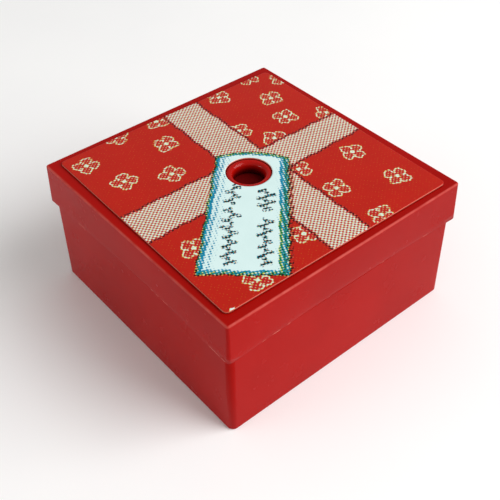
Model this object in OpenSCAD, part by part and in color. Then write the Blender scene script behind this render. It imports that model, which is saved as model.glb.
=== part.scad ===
// Small ink pad in a square present-shaped box: a lift-off lid over a base, and in the base
// a tray that carries a soaked felt, a foam and a woven cover.
// Origin: centre of the underside. +Z up, millimetres.

/* [Box] */
// Width of the lid across its skirt
lid_w = 24.2; // [22:0.1:28]
// Width of the base, a little less than the lid
base_w = 23.6; // [21.6:0.1:27.4]
// Height from the underside to the lid's top face
box_h = 12; // [11.4:0.1:16]
// Depth of the lid's skirt, top face included
skirt_h = 3.7; // [3.4:0.1:4.2]
// Radius of the lid's upright corners
lid_corner_r = 0.4; // [0.35:0.05:0.6]
// Radius of the edges round the lid's top face
lid_edge_r = 0.15; // [0.05:0.05:0.15]
// Radius of the base's upright corners
base_corner_r = 0.55; // [0.4:0.05:0.8]
// Radius of the edges round the base's underside
base_edge_r = 0.15; // [0.05:0.05:0.2]

/* [Walls] */
// Thickness of the base's walls
base_wall = 0.85; // [0.7:0.05:1.1]
// Thickness of the base's floor
base_floor = 1; // [0.8:0.1:1.5]
// Thickness of the lid's top plate
lid_plate = 0.9; // [0.8:0.05:1.1]
// Thickness of the lid's skirt
skirt_wall = 0.975; // [0.9:0.025:1.05]
// Gap between the skirt's lower edge and the base's rim
seam = 0.1; // [0.05:0.05:0.2]

/* [Eyelet] */
// Radius of the hole through the lid
eyelet_r = 1.3; // [0.8:0.05:2]
// Radius of the lip at the lid's top face
lip_r = 1.86; // [1.5:0.02:2.6]
// Depth of the rounded lip
lip_depth = 0.35; // [0.2:0.05:0.5]

/* [Label] */
// Width of the square label
label_w = 22.65; // [20:0.05:23]
// Thickness of the label with its film
label_t = 0.2; // [0.1:0.05:0.3]
// Radius of the label's corners
label_corner_r = 0.4; // [0.2:0.1:1]
// Margin between the lip and the label's punched hole
label_hole_gap = 0.04; // [0.02:0.02:0.3]

/* [Liner] */
// Width of the foam liner under the lid
liner_w = 21.4; // [19:0.1:21.6]
// Thickness of the foam liner
liner_t = 0.5; // [0.3:0.1:0.6]
// Thickness of the tape above it
tape_t = 0.1; // [0.05:0.05:0.15]
// Width of the tape's strips
tape_strip = 2; // [1:0.5:4]

/* [Tray] */
// Outside width of the tray, which is also the lid's neck
tray_w = 21.8; // [19.8:0.1:21.85]
// Thickness of the tray's walls and floor
tray_wall = 0.8; // [0.6:0.05:0.8]
// Height of the ribs that carry the tray above the base's floor
rib_h = 1.6; // [0.8:0.1:2]
// Thickness of those ribs
rib_t = 0.8; // [0.6:0.1:1.2]
// How far the neck stands above the base's rim
neck_h = 1.7; // [1.5:0.1:1.8]
// How far the crush ribs stand out of the neck
crush_proud = 0.1; // [0.05:0.01:0.12]

/* [Pad] */
// Thickness of the ink reservoir felt
felt_t = 3.6; // [3:0.1:4]
// Thickness of the woven cover
cloth_t = 0.35; // [0.2:0.05:0.35]
// Thickness of the clamp frame's flat
frame_t = 0.8; // [0.6:0.1:0.9]
// Thickness of the clamp frame's downward skirt
frame_skirt_t = 0.4; // [0.3:0.05:0.45]
// Width of the window in the clamp frame
window_w = 17.4; // [15:0.1:17.6]
// How far the cover stands above the neck
pad_proud = 0.45; // [0.2:0.05:0.45]

/* [Hidden] */
$fn = 48;
slip = 0.05;
eps = 0.01;
skirt_z = box_h - skirt_h;
rim_z = skirt_z - seam;
plate_z = box_h - lid_plate;
skirt_inside_w = lid_w - 2 * skirt_wall;
base_inside_w = base_w - 2 * base_wall;
base_inner_r = 0.3;
label_hole_r = lip_r + label_hole_gap;
tape_z = plate_z - tape_t;
liner_z = tape_z - liner_t;
tape_w = liner_w - 0.8;
tray_z = base_floor + rib_h;
tray_r = 0.3;
tray_inside_w = tray_w - 2 * tray_wall;
felt_z = tray_z + tray_wall;
felt_w = tray_inside_w - 4 * slip;
neck_z = rim_z + neck_h;
foam_z = felt_z + felt_t;
frame_w = tray_inside_w - 2 * slip;
frame_inside_w = frame_w - 2 * frame_skirt_t;
frame_z = neck_z - frame_t;
frame_skirt_z = foam_z + 0.6;
cloth_w = frame_inside_w - 4 * slip;
cloth_step_w = window_w - 2 * slip;
cloth_top_z = neck_z + pad_proud;
foam_w = cloth_w - 2 * cloth_t;
foam_step_w = cloth_step_w - 2 * cloth_t;
rib_pitch = 7;
crush_w = 0.8;
crush_pitch = 9;
crush_h = neck_h - 0.5;

// Square of width w with corners of radius r, centred
module round_square(w, r) {
    square([w - 2 * r, w], center = true);
    square([w, w - 2 * r], center = true);
    for (x = [-1, 1], y = [-1, 1])
        translate([x * (w / 2 - r), y * (w / 2 - r)]) circle(r);
}

// Square slab from z0 to z1
module slab(w, r, z0, z1) {
    translate([0, 0, z0]) linear_extrude(z1 - z0) round_square(w, r);
}

// Upright section of width w and height h on the X axis, its lower corners rounded to edge_r
module footed_section(w, edge_r, h) {
    translate([-w / 2, edge_r]) square([w, h - edge_r]);
    translate([edge_r - w / 2, 0]) square([w - 2 * edge_r, h]);
    for (x = [-1, 1]) translate([x * (w / 2 - edge_r), edge_r]) circle(edge_r);
}

// Square block on z = 0 with upright corners of corner_r and lower edges of edge_r
module soft_footed_block(w, corner_r, edge_r, h) {
    for (turn = [0, 90])
        rotate([0, 0, turn]) rotate([90, 0, 0])
            linear_extrude(w - 2 * corner_r, center = true) footed_section(w, edge_r, h);
    for (x = [-1, 1], y = [-1, 1])
        translate([x * (w / 2 - corner_r), y * (w / 2 - corner_r), 0])
            rotate_extrude() intersection() {
                footed_section(2 * corner_r, edge_r, h);
                square([corner_r + 1, h + 1]);
            }
}

// Crush ribs, two to a side, on the outside of the neck
module crush_ribs() {
    for (turn = [0 : 90 : 270], x = [-1, 1])
        rotate([0, 0, turn])
            translate([x * crush_pitch / 2, tray_w / 2, rim_z + 0.2 + crush_h / 2])
                cube([crush_w, 2 * crush_proud, crush_h], center = true);
}

// Base: moulded cup with four standing ribs on its floor
module base_shell() {
    color("firebrick") {
        difference() {
            soft_footed_block(base_w, base_corner_r, base_edge_r, rim_z);
            slab(base_inside_w, base_inner_r, base_floor, rim_z + 1);
        }
        for (turn = [0, 90], x = [-1, 1])
            rotate([0, 0, turn])
                translate([x * rib_pitch / 2, 0, base_floor + rib_h / 2 - eps])
                    cube([rib_t, 2 * rib_pitch, rib_h + 2 * eps], center = true);
    }
}

// Tray: inner cup that stands on the ribs and rises past the rim as the lid's neck
module pad_tray() {
    color("dimgray") difference() {
        union() {
            slab(tray_w, tray_r, tray_z + eps, neck_z);
            crush_ribs();
        }
        slab(tray_inside_w, tray_r, felt_z, neck_z + 1);
    }
}

// Felt block that holds the ink
module reservoir_felt() {
    color("maroon") slab(felt_w, 0.8, felt_z, foam_z);
}

// Foam block, stepped so that it rises through the clamp frame's window
module pad_foam() {
    color("indianred") {
        slab(foam_w, 0.5, foam_z, frame_z - cloth_t);
        slab(foam_step_w, 0.5, frame_z - cloth_t - eps, cloth_top_z - cloth_t);
    }
}

// Woven cover over the foam, its edges turned down beside it
module pad_cloth() {
    color("darkred") difference() {
        union() {
            slab(cloth_w, 0.5 + cloth_t, foam_z, frame_z);
            slab(cloth_step_w, 0.5 + cloth_t, frame_z - eps, cloth_top_z);
        }
        slab(foam_w, 0.5, foam_z - 1, frame_z - cloth_t);
        slab(foam_step_w, 0.5, frame_z - cloth_t - eps, cloth_top_z - cloth_t);
    }
}

// Clamp frame: flat window frame with a skirt that grips the cover's edges
module clamp_frame() {
    color("gray") difference() {
        slab(frame_w, tray_r, frame_skirt_z, neck_z);
        slab(frame_inside_w, 0.8, frame_skirt_z - 1, frame_z);
        slab(window_w, 0.8, frame_z - 1, neck_z + 1);
    }
}

// Profile cut away by the eyelet: straight hole with a rounded lip, right of the axis
module eyelet_profile() {
    lip_w = lip_r - eyelet_r;
    lip_arc = [for (a = [0 : 10 : 90])
        [eyelet_r + lip_w * (1 - cos(a)), box_h - lip_depth * (1 - sin(a))]];
    polygon(concat(
        [[0, plate_z - 1], [eyelet_r, plate_z - 1]],
        lip_arc,
        [[lip_r, box_h + 1], [0, box_h + 1]]
    ));
}

// Lid: plate with the eyelet, and a skirt that slides over the neck
module lid_shell() {
    color("firebrick") difference() {
        translate([0, 0, box_h]) mirror([0, 0, 1])
            soft_footed_block(lid_w, lid_corner_r, lid_edge_r, skirt_h);
        slab(skirt_inside_w, tray_r, skirt_z - 1, plate_z);
        translate([0, 0, plate_z - 1]) cylinder(h = lid_plate + 2, r = eyelet_r);
        rotate_extrude() eyelet_profile();
    }
}

// Printed label with a punched hole round the eyelet's lip
module lid_label() {
    color("crimson") difference() {
        slab(label_w, label_corner_r, box_h, box_h + label_t);
        translate([0, 0, box_h - 1]) cylinder(h = label_t + 2, r = label_hole_r);
    }
}

// Double-sided tape frame between the lid and its liner
module liner_tape() {
    color("ivory") difference() {
        slab(tape_w, 0.3, tape_z, plate_z);
        slab(tape_w - 2 * tape_strip, 0.3, tape_z - 1, plate_z + 1);
    }
}

// Closed-cell foam sheet that closes the eyelet from below
module lid_liner() {
    color("maroon") slab(liner_w, 0.5, liner_z, tape_z);
}

base_shell();
pad_tray();
reservoir_felt();
pad_foam();
pad_cloth();
clamp_frame();
lid_shell();
lid_label();
liner_tape();
lid_liner();
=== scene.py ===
# A one-inch ink pad in a present-shaped plastic box: a red base with a black inner tray, felt, foam and
# woven cover, and a red lift-off lid with a printed gift label and a round eyelet.
import math

import bmesh
import bpy
import numpy as np
from mathutils import Matrix, Vector


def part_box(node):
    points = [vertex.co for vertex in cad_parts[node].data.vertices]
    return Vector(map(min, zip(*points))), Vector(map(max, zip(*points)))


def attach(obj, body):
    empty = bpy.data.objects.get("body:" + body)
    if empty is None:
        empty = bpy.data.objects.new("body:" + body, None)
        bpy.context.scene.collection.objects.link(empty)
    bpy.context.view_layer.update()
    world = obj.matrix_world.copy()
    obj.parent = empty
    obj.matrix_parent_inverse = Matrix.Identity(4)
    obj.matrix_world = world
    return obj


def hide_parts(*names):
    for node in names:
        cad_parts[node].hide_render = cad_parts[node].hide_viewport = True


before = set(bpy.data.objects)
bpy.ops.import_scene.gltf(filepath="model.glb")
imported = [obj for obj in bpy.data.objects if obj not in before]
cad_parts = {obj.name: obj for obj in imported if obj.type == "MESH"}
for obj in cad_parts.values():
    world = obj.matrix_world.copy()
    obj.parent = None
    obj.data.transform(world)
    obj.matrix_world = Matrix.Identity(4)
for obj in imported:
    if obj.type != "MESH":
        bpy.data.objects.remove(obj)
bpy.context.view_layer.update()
scene = bpy.context.scene
scene.view_settings.view_transform = "Standard"
MM = 0.001

# ---------------------------------------------------------------- camera
# A small product camera above the near corner. It looks at the middle of the lid's top face, and its three
# distances from there are in widths of that face.
lid_low, lid_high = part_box("lid_shell")
lid_face = lid_high.z
lid_top_width = 24 * MM

camera_turn, camera_rise, camera_roll = math.radians(50.44), math.radians(40.61), -0.0161
camera_away, camera_aside, camera_below = 2.9485, 0.0039, 0.1576
back = Vector((
    math.sin(camera_turn) * math.cos(camera_rise),
    -math.cos(camera_turn) * math.cos(camera_rise),
    math.sin(camera_rise),
))
level_right = Vector((0, 0, 1)).cross(back).normalized()
level_up = back.cross(level_right)
right = level_right * math.cos(camera_roll) + level_up * math.sin(camera_roll)
up = level_up * math.cos(camera_roll) - level_right * math.sin(camera_roll)
spot = back * (camera_away * lid_top_width)
spot = spot + right * camera_aside * lid_top_width - up * camera_below * lid_top_width
turn = Matrix((right, up, back)).transposed().to_4x4()
camera_data = bpy.data.cameras.new("product_camera")
camera_data.lens = 62.43
camera_data.sensor_width = 36
camera_data.shift_y = -0.06
camera_data.clip_start = 0.001
camera_data.clip_end = 10
camera = bpy.data.objects.new("product_camera", camera_data)
camera.matrix_world = Matrix.Translation(spot + Vector((0, 0, lid_face))) @ turn
scene.collection.objects.link(camera)
scene.camera = camera


# ---------------------------------------------------------------- floor and light
# A wide pale table, a big soft window light from the right and behind, and a low fill from the front left.
def new_material(name):
    material = bpy.data.materials.new(name)
    material.use_nodes = True
    tree = material.node_tree
    return material, tree, tree.nodes["Principled BSDF"]


def add_node(tree, kind, **settings):
    node = tree.nodes.new(kind)
    for key, value in settings.items():
        setattr(node, key, value)
    return node


def noise(tree, scale, detail=2.0, stretch=None):
    """Noise on the piece's own coordinates: scale in cells per millimetre, times stretch on each axis."""
    coordinates = add_node(tree, "ShaderNodeTexCoord")
    mapping = add_node(tree, "ShaderNodeMapping")
    mapping.inputs["Scale"].default_value = [1000 * s for s in (stretch or (1, 1, 1))]
    texture = add_node(tree, "ShaderNodeTexNoise")
    texture.inputs["Scale"].default_value = scale
    texture.inputs["Detail"].default_value = detail
    tree.links.new(coordinates.outputs["Object"], mapping.inputs["Vector"])
    tree.links.new(mapping.outputs["Vector"], texture.inputs["Vector"])
    return texture.outputs["Fac"]


def spread(tree, value, low, high, to_low=0.0, to_high=1.0):
    """Rescales a value, clamped, from low..high to to_low..to_high."""
    node = add_node(tree, "ShaderNodeMapRange", clamp=True)
    tree.links.new(value, node.inputs["Value"])
    for key, number in zip(("From Min", "From Max", "To Min", "To Max"), (low, high, to_low, to_high)):
        node.inputs[key].default_value = number
    return node.outputs["Result"]


def blend_colours(tree, amount, first, second, mode="MIX"):
    """Mixes two colours, each a colour or another node's output."""
    node = add_node(tree, "ShaderNodeMix", data_type="RGBA", blend_type=mode)
    for socket, value in ((node.inputs[0], amount), (node.inputs[6], first), (node.inputs[7], second)):
        if isinstance(value, bpy.types.NodeSocket):
            tree.links.new(value, socket)
        else:
            socket.default_value = value if isinstance(value, float) else (*value, 1)
    return node.outputs[2]


def bump(tree, shader, height, strength, distance):
    """Bumps a shader by a height, distance in millimetres."""
    node = add_node(tree, "ShaderNodeBump")
    node.inputs["Strength"].default_value = strength
    node.inputs["Distance"].default_value = distance * MM
    tree.links.new(height, node.inputs["Height"])
    tree.links.new(node.outputs["Normal"], shader.inputs["Normal"])
    return node


def srgb(red, green, blue):
    """A colour mixed on a 0 to 255 screen scale, as the shader's linear values."""
    return tuple(
        ((c / 255 + 0.055) / 1.055) ** 2.4 if c > 10 else c / 255 / 12.92
        for c in (red, green, blue)
    )


FLOOR_HALF = 0.8
floor_material, floor_tree, floor_shader = new_material("pale_table")
floor_tone = spread(floor_tree, noise(floor_tree, 0.05, 3), 0.3, 0.7)
floor_tree.links.new(
    blend_colours(floor_tree, floor_tone, (0.93, 0.93, 0.935), (0.95, 0.95, 0.95)),
    floor_shader.inputs["Base Color"],
)
floor_shader.inputs["Roughness"].default_value = 0.75
floor_shader.inputs["Specular IOR Level"].default_value = 0.2
floor_mesh = bpy.data.meshes.new("table")
floor_bm = bmesh.new()
bmesh.ops.create_grid(floor_bm, x_segments=8, y_segments=8, size=FLOOR_HALF)
floor_bm.to_mesh(floor_mesh)
floor_bm.free()
floor_mesh.materials.append(floor_material)
table = bpy.data.objects.new("table", floor_mesh)
scene.collection.objects.link(table)

world = bpy.data.worlds.new("studio")
world.use_nodes = True
world.node_tree.nodes["Background"].inputs["Color"].default_value = (0.98, 0.97, 0.94, 1)
world.node_tree.nodes["Background"].inputs["Strength"].default_value = 0.46
scene.world = world


def soft_light(name, direction, distance, size, power):
    """A square area light that faces the box from a direction, sizes in metres."""
    data = bpy.data.lights.new(name, "AREA")
    data.shape = "SQUARE"
    data.size = size
    data.energy = power
    light = bpy.data.objects.new(name, data)
    direction = Vector(direction).normalized()
    light.location = direction * distance + Vector((0, 0, lid_face / 2))
    light.rotation_mode = "QUATERNION"
    light.rotation_quaternion = direction.to_track_quat("Z", "Y")
    scene.collection.objects.link(light)


soft_light("window", (0.65, 0.48, 0.62), 0.32, 0.26, 1.17)
soft_light("low_fill", (-0.45, -0.9, 0.16), 0.35, 0.2, 0.35)


# ---------------------------------------------------------------- lid shell
# The lid is one red moulding: a plate with a lipped eyelet, rounded top edges, and a skirt with draft. The
# skirt's lower edge is drawn in a little at mid-side, as thin mouldings sink. Its skin is a row of rings that
# starts in the eyelet, runs out and down, and comes back inside.
ARC_STEPS, SIDE_STEPS = 10, 20


def outline_point(step, half, corner, bow=0.0, arcs=ARC_STEPS, sides=SIDE_STEPS):
    """Point number step round a square with round corners; bow draws the middle of each side in."""
    side, place = divmod(step, arcs + sides)
    if place <= arcs:
        angle = math.pi / 2 * place / arcs
        x = half - corner + corner * math.cos(angle)
        y = half - corner + corner * math.sin(angle)
    else:
        along = (place - arcs) / sides
        x = (half - corner) * (1 - 2 * along)
        y = half - bow * (1 - (2 * along - 1) ** 2)
    return Matrix.Rotation(side * math.pi / 2, 2) @ Vector((x, y))


def first_ring(bm, count):
    """A ring of edges whose vertices each know their step round it."""
    step_layer = bm.verts.layers.int.new("step")
    made = bmesh.ops.create_circle(bm, segments=count, radius=1)["verts"]
    for step, vertex in enumerate(made):
        vertex[step_layer] = step
    return list(bm.edges)


def place_ring(bm, ring, shape, z):
    """Moves a ring's vertices to shape(step) at height z, all in millimetres."""
    step_layer = bm.verts.layers.int["step"]
    for vertex in {v for edge in ring for v in edge.verts}:
        x, y = shape(vertex[step_layer])
        vertex.co = Vector((x, y, z)) * MM


def next_ring(bm, ring):
    """Extrudes a ring and returns the new one."""
    made = bmesh.ops.extrude_edge_only(bm, edges=ring)["geom"]
    corners = {g for g in made if isinstance(g, bmesh.types.BMVert)}
    return [g for g in made if isinstance(g, bmesh.types.BMEdge) and corners.issuperset(g.verts)]


def turn_rings(bm, rings, count, closed=True):
    """Skins (shape, z) rings. A closed skin joins the last to the first; an open one is capped flat."""
    ring = first = first_ring(bm, count)
    place_ring(bm, ring, *rings[0])
    for shape, z in rings[1:]:
        ring = next_ring(bm, ring)
        place_ring(bm, ring, shape, z)
    if closed:
        bmesh.ops.bridge_loops(bm, edges=first + ring)
    else:
        bmesh.ops.contextual_create(bm, geom=first)
        bmesh.ops.contextual_create(bm, geom=ring)


def square(half, corner, bow=0.0):
    return lambda step: outline_point(step, half, corner, bow)


INNER_CORNER = 0.3
SPOKE_HALF, SPOKE_CORNER = 12, 0.5


def circle(radius):
    """A round ring whose spokes run straight out to a square outline's points."""
    return lambda step: outline_point(step, SPOKE_HALF, SPOKE_CORNER).normalized() * radius


def wall_to_flat(half, flat_z, size, above=1):
    """Three rings that round the corner from a wall to a flat, the wall above it or, at -1, below it."""
    cut = round(size * (1 - math.sqrt(0.5)), 2)
    return [
        (square(half, INNER_CORNER), flat_z + above * size),
        (square(half - cut, INNER_CORNER), flat_z + above * cut),
        (square(half - size, INNER_CORNER), flat_z),
    ]


def finish_piece(bm, name, body, nodes, material):
    """Makes the mesh an object of the box, in its material, riding on its body."""
    bmesh.ops.recalc_face_normals(bm, faces=bm.faces)
    mesh = bpy.data.meshes.new(name)
    bm.to_mesh(mesh)
    bm.free()
    mesh.materials.append(material)
    piece = bpy.data.objects.new(name, mesh)
    scene.collection.objects.link(piece)
    mesh.shade_smooth()
    weighted = piece.modifiers.new("even_shading", "WEIGHTED_NORMAL")
    weighted.weight = 100
    weighted.keep_sharp = False
    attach(piece, body)
    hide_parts(*nodes)
    return piece


def quarter(steps):
    """Angles of a quarter turn, both ends included."""
    return [math.pi / 2 * i / steps for i in range(steps + 1)]


def math_node(tree, operation, first, second=None, third=None):
    """One arithmetic step; each value is a number or another node's output."""
    node = add_node(tree, "ShaderNodeMath", operation=operation)
    for socket, value in zip(node.inputs, (first, second, third)):
        if isinstance(value, bpy.types.NodeSocket):
            tree.links.new(value, socket)
        elif value is not None:
            socket.default_value = value
    return node.outputs[0]


SPECK_CELLS = 480


def red_moulding(name, mottle_scale):
    """Satin red styrene: slight flow mottling, fine grain, dust specks and a few hairline rubs."""
    material, tree, shader = new_material(name)
    mottle = spread(tree, noise(tree, mottle_scale, 3), 0.35, 0.65)
    colour = blend_colours(tree, mottle, srgb(153, 8, 4), srgb(162, 12, 7))
    grain = noise(tree, 9.0, 2)
    rubs = spread(tree, noise(tree, 0.9, 4, (0.25, 1, 3)), 0.69, 0.76)
    colour = blend_colours(tree, rubs, colour, srgb(168, 20, 13))
    cells = add_node(tree, "ShaderNodeTexVoronoi")
    cells.inputs["Scale"].default_value = SPECK_CELLS
    coordinates = add_node(tree, "ShaderNodeTexCoord")
    tree.links.new(coordinates.outputs["Object"], cells.inputs["Vector"])
    near = spread(tree, cells.outputs["Distance"], 0.015, 0.03, 1, 0)
    rare = spread(tree, cells.outputs["Color"], 0.93, 0.94)
    specks = math_node(tree, "MULTIPLY", near, rare)
    colour = blend_colours(tree, specks, colour, srgb(226, 120, 110))
    tree.links.new(colour, shader.inputs["Base Color"])
    tree.links.new(spread(tree, noise(tree, 0.5, 4), 0.3, 0.7, 0.2, 0.29), shader.inputs["Roughness"])
    shader.inputs["Specular IOR Level"].default_value = 0.06
    bump(tree, shader, grain, 0.12, 0.01)
    return material


lid_half_top, lid_half_low = lid_top_width / 2 / MM, lid_high.x / MM
face_z, skirt_z = lid_face / MM, lid_low.z / MM
plate_t, hollow_half = 0.9, 11.12
plate_z = face_z - plate_t
eyelet_r, lip_r, lip_depth = 1.3, 1.89, 0.35
crest_r, crest_h = 1.66, 0.12
edge_r, corner_top, corner_low, skirt_bow = 0.15, 0.22, 0.3, 0.22
collar_r, plate_r, flat_half, flat_corner = 2.2, 3.2, 9, 2
rim_round = 0.04

lid_rings = [(circle(eyelet_r), plate_z), (circle(eyelet_r), face_z - lip_depth - 0.05)]
for angle in quarter(6):
    lid_rings.append((
        circle(eyelet_r + (crest_r - eyelet_r) * (1 - math.cos(angle))),
        face_z - lip_depth + (lip_depth + crest_h) * math.sin(angle),
    ))
for angle in quarter(4)[1:]:
    lid_rings.append((
        circle(crest_r + (lip_r - crest_r) * math.sin(angle)), face_z + crest_h * math.cos(angle),
    ))
lid_rings += [
    (circle(collar_r), face_z),
    (circle(plate_r), face_z),
    (square(flat_half, flat_corner), face_z),
]
for angle in quarter(6):
    inward = edge_r * (1 - math.sin(angle))
    lid_rings.append((
        square(lid_half_top - inward, corner_top - inward / 2),
        face_z - edge_r * (1 - math.cos(angle)),
    ))
lid_rings += [
    (
        square(
            lid_half_top + (lid_half_low - lid_half_top) * drop,
            corner_top + (corner_low - corner_top) * drop,
            skirt_bow * drop ** 1.5,
        ),
        face_z - edge_r + (skirt_z + rim_round - face_z + edge_r) * drop,
    )
    for drop in (0.05, 0.3, 0.6, 0.85, 1.0)
]
lid_rings += [
    (square(lid_half_low - 0.05, corner_low, skirt_bow), skirt_z),
    (square(hollow_half + 0.1, 0.4), skirt_z),
    (square(hollow_half, 0.35), skirt_z + 0.15),
    *wall_to_flat(hollow_half, plate_z, 0.25, above=-1),
    (square(flat_half, flat_corner), plate_z),
    (circle(plate_r), plate_z),
]
RING_COUNT = 4 * (ARC_STEPS + SIDE_STEPS)


def place_values(tree):
    """The height, the reach (the larger of |x| and |y|) and the radius of each point."""
    coordinates = add_node(tree, "ShaderNodeTexCoord")
    axes = add_node(tree, "ShaderNodeSeparateXYZ")
    tree.links.new(coordinates.outputs["Object"], axes.inputs["Vector"])
    x, y = axes.outputs["X"], axes.outputs["Y"]
    reach = math_node(
        tree, "MAXIMUM", math_node(tree, "ABSOLUTE", x), math_node(tree, "ABSOLUTE", y)
    )
    squares = math_node(tree, "MULTIPLY_ADD", x, x, math_node(tree, "MULTIPLY", y, y))
    return axes.outputs["Z"], reach, math_node(tree, "SQRT", squares)


def recolour(tree, amount, colour):
    """Lays a colour over a material's base colour, as much as amount says."""
    socket = tree.nodes["Principled BSDF"].inputs["Base Color"]
    tree.links.new(blend_colours(tree, amount, socket.links[0].from_socket, colour), socket)


# The lip is a cleaner red, the bore is painted darker with depth as painted shade, the top edges carry a
# painted highlight in a lighter red, and a thin broken painted glint follows the rim where light catches its
# edge.
lid_red = red_moulding("lid_red", 0.13)
tree = lid_red.node_tree
height, reach, radius = place_values(tree)
recolour(tree, spread(tree, radius, (lip_r - 0.15) * MM, (lip_r + 0.05) * MM, 0.8, 0), srgb(166, 11, 4))
# Painted shade: the bore wall is painted darker towards its depth, where shade falls inside the hole.
in_bore = spread(tree, radius, (eyelet_r + 0.03) * MM, (eyelet_r + 0.28) * MM, 1, 0)
deep = spread(tree, height, (face_z - 0.6) * MM, (face_z - 0.05) * MM, 1, 0)
recolour(tree, math_node(tree, "MULTIPLY", in_bore, deep), srgb(104, 2, 2))
# Painted highlight: a lighter red band along the top edges stands in for light on the edge fillets.
on_edge = spread(tree, reach, (lid_half_top - 0.16) * MM, (lid_half_top - 0.07) * MM)
near_top = spread(tree, height, (face_z - 0.2) * MM, (face_z - 0.1) * MM)
uneven = spread(tree, noise(tree, 0.8, 3), 0.3, 0.6, 0.35, 0.9)
lightened = math_node(tree, "MULTIPLY", math_node(tree, "MULTIPLY", on_edge, near_top), uneven)
recolour(tree, lightened, (0.52, 0.075, 0.06))
# Painted glint: a broken lighter line along the skirt's lower rim stands in for light catching that edge.
at_rim = spread(tree, height, (skirt_z + 0.05) * MM, (skirt_z + 0.09) * MM, 1, 0)
broken = spread(tree, noise(tree, 0.7, 4), 0.56, 0.62)
outside = spread(tree, reach, (lid_half_low - 0.4) * MM, (lid_half_low - 0.3) * MM)
painted_rim_glint = math_node(tree, "MULTIPLY", math_node(tree, "MULTIPLY", at_rim, broken), outside)
recolour(tree, painted_rim_glint, (0.72, 0.26, 0.2))
polish = spread(tree, radius, (lip_r - 0.1) * MM, (lip_r + 0.05) * MM, 0.24, 0)
tree.links.new(polish, tree.nodes["Principled BSDF"].inputs["Coat Weight"])
tree.nodes["Principled BSDF"].inputs["Coat Roughness"].default_value = 0.14
bm = bmesh.new()
turn_rings(bm, lid_rings, RING_COUNT)
finish_piece(bm, "lid_moulding", "lid", ["lid_shell"], lid_red)

# ---------------------------------------------------------------- printed label
# A die-cut paper label under clear gloss film, stuck on the lid and punched round the eyelet. It is printed
# in four inks through dot screens: red gift wrap with flowers, two cream ribbons and a scribbled tag.
label_low, label_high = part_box("lid_label")
label_tilt = -0.0155
label_half = label_high.x / MM / (math.cos(label_tilt) - math.sin(label_tilt))
label_top = label_high.z / MM
label_corner, punched_r = 0.4, 1.92
LABEL_ARCS, LABEL_SIDES, LABEL_RINGS = 4, 184, 116
askew = Matrix.Rotation(label_tilt, 2)
label_shift = Vector((0.08, -0.02))


def label_outline(step, half=label_half, corner=label_corner):
    return askew @ outline_point(step, half, corner, 0.0, LABEL_ARCS, LABEL_SIDES) + label_shift


def punched_edge(step):
    return (label_outline(step) - label_shift).normalized() * punched_r


label_count = 4 * (LABEL_ARCS + LABEL_SIDES)
bm = bmesh.new()
punched = first_ring(bm, label_count)
place_ring(bm, punched, punched_edge, label_top)
rim = next_ring(bm, punched)
place_ring(bm, rim, lambda step: label_outline(step, label_half - 0.02, label_corner - 0.02), label_top)
ends = {v for edge in punched for v in edge.verts}
spokes = [e for e in bm.edges if (e.verts[0] in ends) != (e.verts[1] in ends)]
bmesh.ops.subdivide_edges(bm, edges=spokes, cuts=LABEL_RINGS)
top_edge = next_ring(bm, rim)
place_ring(bm, top_edge, label_outline, label_top - 0.015)
foot = next_ring(bm, top_edge)
place_ring(bm, foot, label_outline, label_low.z / MM)
punched_foot = next_ring(bm, punched)
place_ring(bm, punched_foot, punched_edge, label_low.z / MM)
bmesh.ops.bridge_loops(bm, edges=foot + punched_foot)

# The picture is worked out at every point of the label's face, in millimetres from its middle, +y up.
TOP_LINE = label_top - 0.001
spots = np.array([v.co for v in bm.verts]) / MM
face_x, face_y = spots[:, 0], spots[:, 1]
inks = np.zeros((len(spots), 4))
CYAN, MAGENTA, YELLOW, BLACK = range(4)


def inside(distance, soft=0.1):
    """1 where a distance is negative, 0 where it is positive, soft across its edge."""
    return np.clip(0.5 - distance / soft, 0, 1)


def lay(amount, cyan, magenta, yellow, black):
    """Prints an area over what is there: amount runs from 0 to 1, inks are coverages."""
    inks[:] = inks * (1 - amount[:, None]) + np.array((cyan, magenta, yellow, black)) * amount[:, None]


def wobble(along, seed):
    """The unsteadiness of a hand-drawn line."""
    return 0.05 * np.sin(1.9 * along + seed) + 0.035 * np.sin(4.7 * along + 2.3 * seed)


WRAP_RED = (0.0, 0.978, 0.985, 0.0)
CREAM = (0.0, 0.5, 0.39, 0.07)
LINE = (0.45, 0.92, 0.55, 0.5)
lay(np.ones(len(spots)), *WRAP_RED)

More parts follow.
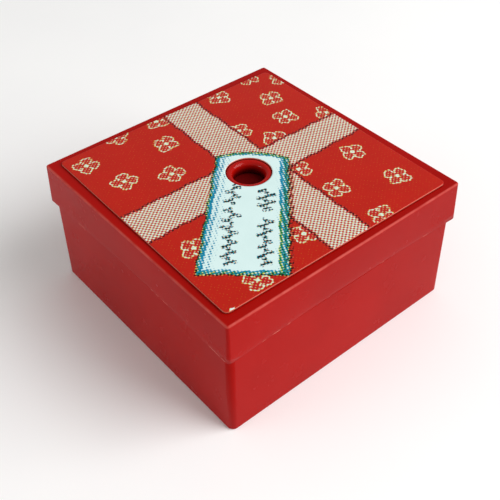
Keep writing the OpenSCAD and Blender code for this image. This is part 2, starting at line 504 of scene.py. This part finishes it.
# Flowers: four broad petals, each outlined in nearly bare paper and filled with a thinner red, round a pale
# eye. Each has its x, its y and its turn in degrees.
FLOWERS = [
    (-9.0, 11.5, 20), (-2.1, 10.8, 0), (-11.1, 9.1, 40), (-7.1, 8.6, 25), (-4.0, 7.6, 40),
    (-10.3, 5.1, 15), (-2.2, 4.7, 5), (-5.0, 3.1, 30), (3.6, 8.3, 18), (8.3, 8.7, 28),
    (6.2, 3.9, 38), (10.8, 4.2, 30), (2.4, 3.3, 20), (-10.9, -1.5, 30), (-7.6, -2.8, 43),
    (-3.9, -4.9, 74), (-11.2, -5.5, 0), (-5.6, -8.4, 70), (-9.4, -9.6, 60), (8.5, -1.8, 30),
    (4.4, -9.0, 20), (10.0, -7.6, 40),
]
PETAL_R, PETAL_OUT, PETAL_LINE, EYE_R = 0.47, 0.61, 0.055, 0.2
for flower_x, flower_y, flower_turn in FLOWERS:
    near = np.flatnonzero(np.hypot(face_x - flower_x, face_y - flower_y) < 1.5)
    petals = []
    for quarter_turn in range(4):
        angle = math.radians(flower_turn + 90 * quarter_turn)
        out = PETAL_OUT * (1 + 0.08 * math.sin(3 * quarter_turn + flower_x))
        petal_x = face_x[near] - flower_x - out * math.cos(angle)
        petal_y = face_y[near] - flower_y - out * math.sin(angle)
        round_petal = np.arctan2(petal_y, petal_x)
        uneven = 0.05 * np.sin(3 * round_petal + 5 * flower_y) + 0.03 * np.sin(5 * round_petal + flower_x)
        petals.append(np.hypot(petal_x, petal_y) - PETAL_R - uneven)
    petals = np.array(petals)
    shape, outline, centre = (np.full(len(spots), 9.0) for _ in range(3))
    shape[near] = petals.min(axis=0)
    outline[near] = np.abs(petals).min(axis=0) - PETAL_LINE
    centre[near] = np.hypot(face_x[near] - flower_x, face_y[near] - flower_y)
    lay(inside(shape), 0.0, 0.8, 0.6, 0.0)
    lay(inside(outline) * inside(-shape - 0.2, 0.2) * inside(0.42 - centre), 0.0, 0.16, 0.35, 0.0)
    lay(inside(centre - EYE_R), 0.03, 0.1, 0.36, 0.0)

# A nick in the print near one corner shows the paper.
lay(inside(np.hypot((face_x - 11.02) * 1.6, face_y + 10.75) - 0.22), 0.0, 0.05, 0.1, 0.0)

# Ribbons: two cream bands, a little out of true, with dark outlines. Each edge has its place and slope.
ribbon_left = -1.83 + 0.0186 * face_y + wobble(face_y, 1)
ribbon_right = 1.74 - 0.0062 * face_y + wobble(face_y, 2)
ribbon_over = 2.78 - 0.0239 * face_x + wobble(face_x, 3)
ribbon_under = -0.98 - 0.0354 * face_x + wobble(face_x, 4)
upright_band = np.maximum(ribbon_left - face_x, face_x - ribbon_right)
level_band = np.maximum(ribbon_under - face_y, face_y - ribbon_over)
bands = np.minimum(upright_band, level_band)
lay(inside(bands), *CREAM)
lay(inside(np.abs(bands) - 0.12, 0.12) * 0.9, *LINE)

# Tag: its long axis runs from the eyelet's end to the lower right corner of the label. Felt-pen bands of
# green and teal follow its edges, and blue strokes shade its lower side.
TAG_AXIS = Vector((0.735, -0.678))
TAG_UP, TAG_LOW, TAG_FAR, TAG_NEAR = 3.24, 2.86, 12.05, 2.0
tag_u = face_x * TAG_AXIS.x + face_y * TAG_AXIS.y
tag_v = -face_x * TAG_AXIS.y + face_y * TAG_AXIS.x
side_up = tag_v - (TAG_UP + 0.016 * tag_u) - wobble(tag_u, 5)
side_low = -(TAG_LOW + 0.034 * tag_u) - tag_v - wobble(tag_u, 6)
end_far = tag_u - (TAG_FAR - 0.02 * tag_v) - wobble(tag_v, 7)
end_near = -TAG_NEAR - 0.68 * (1 - ((tag_v - 0.2) / 2.97) ** 2) - tag_u
tag = np.maximum(np.maximum(side_up, side_low), np.maximum(end_far, end_near))
on_tag = inside(tag)
lay(on_tag, 0.0, 0.0, 0.0, 0.0)
side_strokes = 0.5 + 0.5 * np.sin(15 * (tag_v - 0.12 * tag_u) + 1.1 * np.sin(1.7 * tag_u))
low_strokes = 0.5 + 0.5 * np.sin(13 * (tag_v + 0.1 * tag_u) + 0.7 * np.sin(2.1 * tag_u))
end_strokes = 0.5 + 0.5 * np.sin(14 * (tag_u + 0.15 * tag_v) + 0.9 * np.sin(2.3 * tag_v))
dashes = 0.5 + 0.5 * np.sin(9 * (tag_u + tag_v) + 2 * np.sin(1.1 * tag_u))


def band(distance, start, end, soft=0.12):
    """1 between two depths inside one edge of the tag."""
    return on_tag * inside(start + distance, soft) * inside(-distance - end, soft)


shade = on_tag * np.clip(1 + side_low / 1.35, 0, 1)
for ink, amount in (
    (CYAN, shade ** 0.6 * (0.25 + 0.6 * low_strokes)),
    (CYAN, band(side_up, 0.0, 1.0, 0.3) * 0.3 * side_strokes),
    (CYAN, band(side_up, 0.0, 0.72) * (0.5 + 0.5 * side_strokes)),
    (YELLOW, band(side_up, 0.5, 0.75) * np.clip(0.25 * tag_u - 0.6, 0, 0.75)),
    (YELLOW, band(side_up, 0.0, 0.5) * (0.22 + 0.4 * side_strokes)),
    (MAGENTA, band(side_up, 0.0, 0.6) * 0.38 * side_strokes ** 2),
    (BLACK, band(side_up, 0.0, 0.4) * 0.4 * dashes),
    (CYAN, band(side_low, 0.0, 0.4) * (0.6 + 0.4 * low_strokes)),
    (MAGENTA, shade * 0.34 * low_strokes),
    (YELLOW, band(side_low, 0.0, 0.22) * (0.3 + 0.4 * dashes)),
    (CYAN, band(end_far, 0.0, 0.5) * (0.5 + 0.5 * end_strokes)),
    (YELLOW, band(end_far, 0.0, 0.4) * (0.25 + 0.5 * dashes)),
    (MAGENTA, band(end_far, 0.0, 0.4) * 0.3 * end_strokes),
    (BLACK, band(end_far, 0.0, 0.3) * 0.4 * dashes),
    (CYAN, band(end_near, 0.0, 0.42) * (0.5 + 0.4 * end_strokes)),
    (YELLOW, band(end_near, 0.0, 0.3) * (0.45 + 0.4 * dashes)),
):
    inks[:, ink] = np.maximum(inks[:, ink], amount)

# A dark fringe lies just outside the tag's upper side, and a broken line is drawn round it all.
beside = inside(np.abs(side_up - 0.2) - 0.17) * inside(end_far) * inside(end_near + 0.5)
lay(beside * (0.2 + 0.6 * dashes), 0.5, 0.9, 0.6, 0.6)
lay(inside(np.abs(tag) - 0.085, 0.12) * (0.5 + 0.5 * dashes), 0.7, 0.6, 0.75, 0.62)

# Scribble: plain waves of the pen that stand for handwriting and spell nothing. Each has its start, end and
# line on the tag, then how far each wave swings over the line, or under it.
SCRIBBLES = [
    (2.3, 4.9, 1.5, (-0.55, 0.6, -0.5, 0.6, -0.6, 0.5)),
    (5.9, 8.0, 1.55, (0.6, -0.55, 0.5, -0.6)),
    (8.2, 11.0, 1.6, (0.5, -0.5, 0.6, -0.45, 0.5)),
    (1.8, 4.1, -1.1, (0.6, -0.6, 0.5, -0.6)),
    (4.7, 6.4, -1.1, (-0.5, 0.6, -0.5)),
    (6.7, 11.0, -1.1, (-0.6, 0.5, -0.5, 0.6, -0.5, 0.55, -0.45, 0.6)),
]
pen = []
for start, end, line, reaches in SCRIBBLES:
    for count, reach in enumerate(reaches):
        for t in np.linspace(0, 1, 32):
            along = start + (end - start) * (count + t) / len(reaches)
            curl = 0.16 * math.sin(2 * math.pi * t)
            swing = reach * math.sin(math.pi * t) ** 1.5 + 0.1 * math.sin(5 * along)
            pen.append((along + curl, line + swing))
pen = np.array(pen)
written = np.flatnonzero(tag < 0)
gap = np.full(len(spots), 9.0)
for part in np.array_split(written, 24):
    gap[part] = np.hypot(
        tag_u[part, None] - pen[None, :, 0], tag_v[part, None] - pen[None, :, 1]
    ).min(axis=1)
worn = 0.7 + 0.3 * np.sin(13 * tag_u + 7 * tag_v)
lay(inside(gap - 0.185, 0.12) * worn, 0.8, 0.66, 0.5, 0.52)
SOLID_RED = (0, 1, 1, 0)
inks[spots[:, 2] < TOP_LINE] = SOLID_RED

label_ink, tree, shader = new_material("label_ink")
print_inks = add_node(tree, "ShaderNodeAttribute", attribute_name="print_inks")
channels = add_node(tree, "ShaderNodeSeparateColor")
tree.links.new(print_inks.outputs["Color"], channels.inputs["Color"])
place = add_node(tree, "ShaderNodeTexCoord")
DOT_PITCH = 0.256
CYAN_INK, MAGENTA_INK = (0.0, 0.29, 0.5), (0.72, 0.014, 0.03)
YELLOW_INK, BLACK_INK = (0.97, 0.74, 0.07), (0.03, 0.03, 0.04)


def dot_screen(coverage, angle, soft):
    """A printed dot screen: round dots that grow with the coverage, on a grid turned by angle degrees."""
    turned = add_node(tree, "ShaderNodeVectorRotate", rotation_type="Z_AXIS")
    turned.inputs["Angle"].default_value = math.radians(angle)
    tree.links.new(place.outputs["Object"], turned.inputs["Vector"])
    axes = add_node(tree, "ShaderNodeSeparateXYZ")
    tree.links.new(turned.outputs["Vector"], axes.inputs["Vector"])
    wave_rate = 2 * math.pi / DOT_PITCH / MM
    waves = [
        math_node(tree, "COSINE", math_node(tree, "MULTIPLY", axes.outputs[axis], wave_rate))
        for axis in "XY"
    ]
    hill = math_node(tree, "MULTIPLY_ADD", math_node(tree, "ADD", *waves), 0.25, -0.5)
    grown = math_node(tree, "MULTIPLY_ADD", coverage, 1 + soft, hill)
    dot = math_node(tree, "DIVIDE", grown, soft)
    dot.node.use_clamp = True
    return dot


paper_tone = spread(tree, noise(tree, 0.4, 3), 0.3, 0.7)
printed = blend_colours(tree, paper_tone, (0.63, 0.81, 0.80), (0.67, 0.85, 0.84))
drift = spread(tree, noise(tree, 3.1, 1), 0.4, 0.62, -0.045, 0.035)
for coverage, angle, soft, ink_colour in (
    (channels.outputs["Red"], -68, 0.3, CYAN_INK),
    (channels.outputs["Green"], -38, 0.45, MAGENTA_INK),
    (channels.outputs["Blue"], 7, 1.1, YELLOW_INK),
    (print_inks.outputs["Alpha"], -38, 0.4, BLACK_INK),
):
    drifting = math_node(tree, "MULTIPLY_ADD", drift, coverage, coverage)
    printed = blend_colours(tree, dot_screen(drifting, angle, soft), printed, ink_colour, "MULTIPLY")
faces = add_node(tree, "ShaderNodeNewGeometry")
upward = add_node(tree, "ShaderNodeSeparateXYZ")
tree.links.new(faces.outputs["True Normal"], upward.inputs["Vector"])
cut_edge = spread(tree, upward.outputs["Z"], 0.4, 0.6, 1, 0)
printed = blend_colours(tree, cut_edge, printed, (0.68, 0.17, 0.12))
tree.links.new(printed, shader.inputs["Base Color"])
tree.links.new(spread(tree, noise(tree, 0.6, 4), 0.3, 0.7, 0.34, 0.46), shader.inputs["Roughness"])
shader.inputs["Specular IOR Level"].default_value = 0.14
shader.inputs["Coat Weight"].default_value = 0.11
shader.inputs["Coat Roughness"].default_value = 0.2
bump(tree, shader, noise(tree, 2.2, 3), 0.1, 0.02)

label = finish_piece(bm, "gift_label", "lid", ["lid_label"], label_ink)
stored = label.data.color_attributes.new("print_inks", "FLOAT_COLOR", "POINT")
stored.data.foreach_set("color", inks.astype(np.float32).ravel())

# ---------------------------------------------------------------- foam liner and its tape
# A closed-cell foam sheet under the lid closes the eyelet from below. A die-cut frame of double-sided tape
# holds it up.
liner_low, liner_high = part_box("lid_liner")
liner_half, liner_z, liner_top = liner_high.x / MM, liner_low.z / MM, liner_high.z / MM
LINER_EDGE, LINER_CORNER, LINER_INSET = 0.08, 0.5, 1.5
FOAM_CELLS = 5200
bm = bmesh.new()
turn_rings(bm, [
    (square(liner_half - LINER_INSET, LINER_CORNER), liner_z),
    (square(liner_half - LINER_EDGE, LINER_CORNER - 0.05), liner_z),
    (square(liner_half, LINER_CORNER), liner_z + LINER_EDGE),
    (square(liner_half, LINER_CORNER), liner_top - LINER_EDGE),
    (square(liner_half - LINER_EDGE, LINER_CORNER - 0.05), liner_top),
    (square(liner_half - LINER_INSET, LINER_CORNER), liner_top),
], RING_COUNT, closed=False)
liner_foam, tree, shader = new_material("liner_foam")
skin = spread(tree, noise(tree, 1.4, 4), 0.3, 0.7)
tree.links.new(
    blend_colours(tree, skin, srgb(84, 2, 3), srgb(98, 3, 4)), shader.inputs["Base Color"]
)
shader.inputs["Specular IOR Level"].default_value = 0.05
tree.links.new(spread(tree, noise(tree, 3.0), 0.3, 0.7, 0.6, 0.8), shader.inputs["Roughness"])
cells = add_node(tree, "ShaderNodeTexVoronoi")
cells.inputs["Scale"].default_value = FOAM_CELLS
coordinates = add_node(tree, "ShaderNodeTexCoord")
tree.links.new(coordinates.outputs["Object"], cells.inputs["Vector"])
bump(tree, shader, cells.outputs["Distance"], 0.35, 0.05)
finish_piece(bm, "foam_liner", "lid", ["lid_liner"], liner_foam)

tape_low, tape_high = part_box("liner_tape")
tape_half, tape_z, tape_top = tape_high.x / MM, tape_low.z / MM, tape_high.z / MM
TAPE_STRIP = 2.0
tape_places = (TAPE_STRIP, TAPE_STRIP / 2, 0.0)
tape_rings = [(square(tape_half - inward, INNER_CORNER), tape_z) for inward in tape_places]
tape_rings += [(square(tape_half - inward, INNER_CORNER), tape_top) for inward in reversed(tape_places)]
bm = bmesh.new()
turn_rings(bm, tape_rings, RING_COUNT)
tape_film, tree, shader = new_material("tape_film")
bubbles = spread(tree, noise(tree, 1.1, 4), 0.45, 0.6)
tree.links.new(
    blend_colours(tree, bubbles, (0.72, 0.68, 0.6), (0.8, 0.78, 0.72)), shader.inputs["Base Color"]
)
shader.inputs["Roughness"].default_value = 0.45
bump(tree, shader, noise(tree, 2.5, 3), 0.2, 0.02)
finish_piece(bm, "tape_frame", "lid", ["liner_tape"], tape_film)

# ---------------------------------------------------------------- base shell
# The base is a deep red cup of the same plastic, softly rounded below. Four ribs stand on its floor and
# carry the tray.
base_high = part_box("base_shell")[1]
base_half, rim_z = base_high.x / MM, base_high.z / MM
base_corner, foot_r, wall, floor_t = 0.55, 0.15, 0.85, 1.0
cup_half = base_half - wall
base_rings = [(square(base_half - 2, 1), 0)]
for angle in quarter(8):
    inward = foot_r * (1 - math.sin(angle))
    base_rings.append((
        square(base_half - inward, base_corner - inward / 2),
        foot_r * (1 - math.cos(angle)),
    ))
base_rings += [
    (square(base_half, base_corner), 2.5),
    (square(base_half, base_corner), rim_z - 0.1),
    (square(base_half - 0.03, base_corner), rim_z - 0.03),
    (square(base_half - 0.1, base_corner), rim_z),
    (square(cup_half + 0.06, 0.4), rim_z),
    (square(cup_half, 0.35), rim_z - 0.06),
    *wall_to_flat(cup_half, floor_t, 0.3),
    (square(cup_half - 2, INNER_CORNER), floor_t),
]


def add_block(bm, size, middle, angle, rounding):
    """A bevelled block, sizes in millimetres, set at middle and then turned about the box's own axis."""
    made = bmesh.ops.create_cube(bm, size=1)["verts"]
    bmesh.ops.scale(bm, vec=Vector(size) * MM, verts=made)
    bmesh.ops.translate(bm, vec=Vector(middle) * MM, verts=made)
    bmesh.ops.rotate(bm, matrix=Matrix.Rotation(angle, 3, "Z"), verts=made)
    edges = list({edge for vertex in made for edge in vertex.link_edges})
    bmesh.ops.bevel(
        bm, geom=edges, offset=rounding * MM, segments=3, profile=0.5, affect="EDGES", material=-1
    )


RIB_T, RIB_PITCH, RIB_H = 0.8, 7.0, 1.6
bm = bmesh.new()
turn_rings(bm, base_rings, RING_COUNT, closed=False)
for rib_turn in (0, math.pi / 2):
    for rib_x in (-RIB_PITCH / 2, RIB_PITCH / 2):
        add_block(bm, (RIB_T, 2 * RIB_PITCH, RIB_H), (rib_x, 0, floor_t + RIB_H / 2), rib_turn, 0.08)
base_red = red_moulding("base_red", 0.14)
finish_piece(bm, "base_moulding", "base", ["base_shell"], base_red)

# ---------------------------------------------------------------- inner tray
# A black tray, pushed into the base. Its wall stands above the base's rim as the neck that the lid slides
# over, and two small crush ribs on each side of the neck grip the lid.
tray_low, tray_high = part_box("pad_tray")
TRAY_WALL, CRUSH_PITCH, CRUSH_W, CRUSH_PROUD = 0.8, 9.0, 0.8, 0.1
tray_half, tray_z, neck_z = tray_high.x / MM - CRUSH_PROUD, tray_low.z / MM, tray_high.z / MM
tray_floor, tray_inside = tray_z + TRAY_WALL, tray_half - TRAY_WALL
bm = bmesh.new()
turn_rings(bm, [
    (square(tray_half - 2, INNER_CORNER), tray_z),
    *reversed(wall_to_flat(tray_half, tray_z, 0.25)),
    (square(tray_half, INNER_CORNER), neck_z - 0.2),
    (square(tray_half - 0.06, INNER_CORNER), neck_z - 0.06),
    (square(tray_half - 0.2, INNER_CORNER), neck_z),
    (square(tray_inside + 0.12, INNER_CORNER), neck_z),
    (square(tray_inside + 0.03, INNER_CORNER), neck_z - 0.04),
    (square(tray_inside, INNER_CORNER), neck_z - 0.14),
    *wall_to_flat(tray_inside, tray_floor, 0.3),
    (square(tray_half - 3, INNER_CORNER), tray_floor),
], RING_COUNT, closed=False)

crush_low, crush_high = rim_z + 0.2, neck_z - 0.3
for side in range(4):
    for place_x in (-CRUSH_PITCH / 2, CRUSH_PITCH / 2):
        add_block(
            bm, (CRUSH_W, 2 * CRUSH_PROUD, crush_high - crush_low),
            (place_x, tray_half, (crush_low + crush_high) / 2), side * math.pi / 2, 0.06,
        )


def moulded_dark(name, dark, light, rough):
    """Fine-grained dark plastic, a little rubbed."""
    material, tree, shader = new_material(name)
    lightened = spread(tree, noise(tree, 0.7, 5), 0.4, 0.7)
    tree.links.new(blend_colours(tree, lightened, dark, light), shader.inputs["Base Color"])
    tree.links.new(
        spread(tree, noise(tree, 1.5, 4), 0.3, 0.7, rough - 0.07, rough + 0.07), shader.inputs["Roughness"]
    )
    bump(tree, shader, noise(tree, 12, 2), 0.3, 0.015)
    return material, tree, shader


tray_black = moulded_dark("tray_black", (0.012, 0.012, 0.013), (0.024, 0.023, 0.024), 0.5)[0]
finish_piece(bm, "inner_tray", "base", ["pad_tray"], tray_black)

# ---------------------------------------------------------------- felt and foam
# Under the cover: a soaked felt block that feeds ink up, and a stepped block of fine foam that gives.
felt_low, felt_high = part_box("reservoir_felt")
felt_half, felt_z, felt_top = felt_high.x / MM, felt_low.z / MM, felt_high.z / MM


def soft_block(name, node, rings, material):
    """A firm block of fibre or foam, skinned through rings."""
    bm = bmesh.new()
    turn_rings(bm, rings, RING_COUNT, closed=False)
    finish_piece(bm, name, "base", [node], material)


def inked_fibre(name, dark, light, cell, depth):
    """Crimson ink soaked into fibre or foam: blotchy colour over a rough surface, cell per millimetre."""
    material, tree, shader = new_material(name)
    soaked = spread(tree, noise(tree, 0.6, 4), 0.3, 0.7)
    tree.links.new(blend_colours(tree, soaked, dark, light), shader.inputs["Base Color"])
    tree.links.new(spread(tree, noise(tree, 2, 3), 0.3, 0.7, 0.45, 0.8), shader.inputs["Roughness"])
    bump(tree, shader, noise(tree, cell, 4), 0.7, depth)
    return material


felt_fibre = inked_fibre("felt_fibre", srgb(70, 6, 16), srgb(104, 14, 26), 6, 0.12)
FELT_CORNER, FELT_INSET = 0.8, 3
soft_block("ink_felt", "reservoir_felt", [
    (square(felt_half - FELT_INSET, FELT_CORNER), felt_z),
    (square(felt_half - 0.2, FELT_CORNER - 0.1), felt_z),
    (square(felt_half - 0.04, FELT_CORNER), felt_z + 0.1),
    (square(felt_half, FELT_CORNER), felt_z + 0.4),
    (square(felt_half - 0.05, FELT_CORNER, 0.1), (felt_z + felt_top) / 2),
    (square(felt_half, FELT_CORNER), felt_top - 0.4),
    (square(felt_half - 0.04, FELT_CORNER), felt_top - 0.1),
    (square(felt_half - 0.2, FELT_CORNER - 0.1), felt_top),
    (square(felt_half - FELT_INSET, FELT_CORNER), felt_top),
], felt_fibre)

foam_low, foam_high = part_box("pad_foam")
frame_low, frame_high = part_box("clamp_frame")
cloth_low, cloth_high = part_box("pad_cloth")
CLOTH_T, FRAME_T, WINDOW_HALF = 0.35, 0.8, 8.7
foam_half, foam_z = foam_high.x / MM, foam_low.z / MM
shelf_z = frame_high.z / MM - FRAME_T
foam_shelf_z = shelf_z - CLOTH_T
step_half = WINDOW_HALF - 0.05 - CLOTH_T
foam_top = foam_high.z / MM - 0.3
foam_pores = inked_fibre("foam_pores", srgb(96, 10, 22), srgb(128, 20, 34), 9, 0.1)
FOAM_CORNER, FOAM_INSET = 0.5, 3
soft_block("pad_foam_block", "pad_foam", [
    (square(foam_half - FOAM_INSET, FOAM_CORNER), foam_z),
    (square(foam_half, FOAM_CORNER), foam_z),
    (square(foam_half, FOAM_CORNER), foam_shelf_z - 0.1),
    (square(foam_half - 0.1, FOAM_CORNER - 0.05), foam_shelf_z),
    (square(step_half, FOAM_CORNER), foam_shelf_z),
    (square(step_half, FOAM_CORNER), foam_top - 0.15),
    (square(step_half - 0.15, FOAM_CORNER - 0.05), foam_top),
    (square(step_half - FOAM_INSET, FOAM_CORNER), foam_top),
], foam_pores)

# ---------------------------------------------------------------- woven cover
# Plain-woven cloth stretched over the foam and swollen with crimson ink. It crowns in the frame's window,
# drops under the frame and turns down beside the foam.
cloth_half, cloth_z, cloth_top = cloth_high.x / MM, cloth_low.z / MM, cloth_high.z / MM
THREAD, CLOTH_CELLS, CLOTH_GAP = 0.3, 150, 0.02
bm = bmesh.new()
outer_half = cloth_half - CLOTH_GAP
bmesh.ops.create_grid(bm, x_segments=CLOTH_CELLS, y_segments=CLOTH_CELLS, size=outer_half * MM)
bm.verts.ensure_lookup_table()
flat = np.array([v.co for v in bm.verts]) / MM
cx, cy = flat[:, 0], flat[:, 1]
window = WINDOW_HALF - 0.12
corner_x = np.maximum(np.abs(cx) - (window - 0.8), 0)
corner_y = np.maximum(np.abs(cy) - (window - 0.8), 0)
to_window = 0.8 - np.hypot(corner_x, corner_y)
edge_roll = np.clip(to_window / 0.75, 0, 1)
crown = (1 - (cx / window) ** 4).clip(0) * (1 - (cy / window) ** 4).clip(0)
past_x, past_y = np.abs(cx) - window, np.abs(cy) - window
fan = np.arctan2(past_y - 0.6, past_x - 0.6)
pucker = np.exp(-np.hypot(past_x, past_y) / 1.6) * np.sin(14 * fan)
swelling = 0.5 * np.sin(0.55 * cx + 0.3 * cy) * np.sin(0.42 * cy - 0.2 * cx + 1.1)
shelf = shelf_z - 0.08
swell = shelf + (cloth_top - 0.36 - shelf) * np.sqrt(1 - (1 - edge_roll) ** 2)
heights = swell + edge_roll * (0.27 * crown + 0.035 * pucker + 0.04 * swelling)
for vertex, height in zip(bm.verts, heights):
    vertex.co.z = height * MM

# The edge turns down outside, comes in under itself, climbs the foam's two steps inside and closes on top.
rim_edges = [edge for edge in bm.edges if edge.is_boundary]
for half, z in (
    (outer_half, cloth_z + 0.05),
    (outer_half - 0.1, cloth_z),
    (outer_half - CLOTH_T, cloth_z),
    (foam_half + CLOTH_GAP, foam_shelf_z + CLOTH_GAP),
    (step_half + CLOTH_GAP, foam_shelf_z + CLOTH_GAP),
    (step_half + CLOTH_GAP, foam_top + 0.03),
):
    rim_edges = next_ring(bm, rim_edges)
    for vertex in {v for edge in rim_edges for v in edge.verts}:
        grow = half / max(abs(vertex.co.x), abs(vertex.co.y)) * MM
        vertex.co.x, vertex.co.y, vertex.co.z = vertex.co.x * grow, vertex.co.y * grow, z * MM
bmesh.ops.contextual_create(bm, geom=rim_edges)
cloth_ink, tree, shader = new_material("cloth_ink")
wet = spread(tree, noise(tree, 0.35, 4), 0.35, 0.65)
tree.links.new(
    blend_colours(tree, wet, srgb(126, 5, 24), srgb(164, 12, 38)), shader.inputs["Base Color"]
)
coordinates = add_node(tree, "ShaderNodeTexCoord")
axes = add_node(tree, "ShaderNodeSeparateXYZ")
tree.links.new(coordinates.outputs["Object"], axes.inputs["Vector"])
wander = spread(tree, noise(tree, 0.5, 2), 0.3, 0.7, -0.35, 0.35)
turns = [
    math_node(tree, "MULTIPLY_ADD", axes.outputs[axis], math.pi / THREAD / MM, wander) for axis in "XY"
]
ridges = [math_node(tree, "ABSOLUTE", math_node(tree, "SINE", turn)) for turn in turns]
swaps = [math_node(tree, "COSINE", math_node(tree, "ADD", turn, math.pi / 2)) for turn in turns]
swap = math_node(tree, "MULTIPLY_ADD", math_node(tree, "MULTIPLY", *swaps), 0.5, 0.5)
warp = math_node(tree, "MULTIPLY", ridges[0], math_node(tree, "MULTIPLY_ADD", swap, 0.6, 0.4))
weft = math_node(tree, "MULTIPLY", ridges[1], math_node(tree, "MULTIPLY_ADD", swap, -0.6, 1.0))
threads = math_node(tree, "MAXIMUM", warp, weft)
# Painted shade: the gaps between the threads are painted darker, where shade falls in the weave.
recolour(tree, spread(tree, threads, 0.15, 0.75, 0.75, 0.0), srgb(66, 1, 10))
tree.links.new(spread(tree, noise(tree, 0.8, 4), 0.35, 0.65, 0.32, 0.6), shader.inputs["Roughness"])
shader.inputs["Sheen Weight"].default_value = 0.12
shader.inputs["Coat Weight"].default_value = 0.2
shader.inputs["Coat Roughness"].default_value = 0.35
fuzz = math_node(tree, "MULTIPLY_ADD", noise(tree, 14, 3), 0.35, threads)
bump(tree, shader, fuzz, 0.8, 0.07)
cover = finish_piece(bm, "woven_cover", "base", ["pad_cloth"], cloth_ink)

# ---------------------------------------------------------------- clamp frame
# A dark grey frame pressed into the tray. Its skirt nips the cover's edges, and its window shows some ink.
frame_half, frame_z, frame_top = frame_high.x / MM, frame_low.z / MM, frame_high.z / MM
FRAME_SKIRT_T, WINDOW_CORNER = 0.4, 0.8
skirt_half = frame_half - FRAME_SKIRT_T
bm = bmesh.new()
turn_rings(bm, [
    (square(WINDOW_HALF, WINDOW_CORNER), shelf_z),
    (square(WINDOW_HALF, WINDOW_CORNER), frame_top - 0.25),
    (square(WINDOW_HALF + 0.07, WINDOW_CORNER + 0.02), frame_top - 0.07),
    (square(WINDOW_HALF + 0.25, WINDOW_CORNER + 0.05), frame_top),
    (square(frame_half - 0.15, INNER_CORNER), frame_top),
    (square(frame_half - 0.04, INNER_CORNER), frame_top - 0.04),
    (square(frame_half, INNER_CORNER), frame_top - 0.15),
    (square(frame_half, INNER_CORNER), frame_z),
    (square(skirt_half, WINDOW_CORNER), frame_z),
    (square(skirt_half, WINDOW_CORNER), shelf_z),
], RING_COUNT)
frame_grey, tree, shader = moulded_dark("frame_grey", (0.05, 0.05, 0.052), (0.075, 0.073, 0.074), 0.38)
reach = place_values(tree)[1]
blot = math_node(tree, "MULTIPLY_ADD", noise(tree, 0.9, 4), 0.0012, reach)
stain = spread(tree, blot, (WINDOW_HALF + 0.55) * MM, (WINDOW_HALF + 0.75) * MM, 0.85, 0.0)
recolour(tree, stain, srgb(96, 6, 22))
finish_piece(bm, "clamp_bezel", "base", ["clamp_frame"], frame_grey)
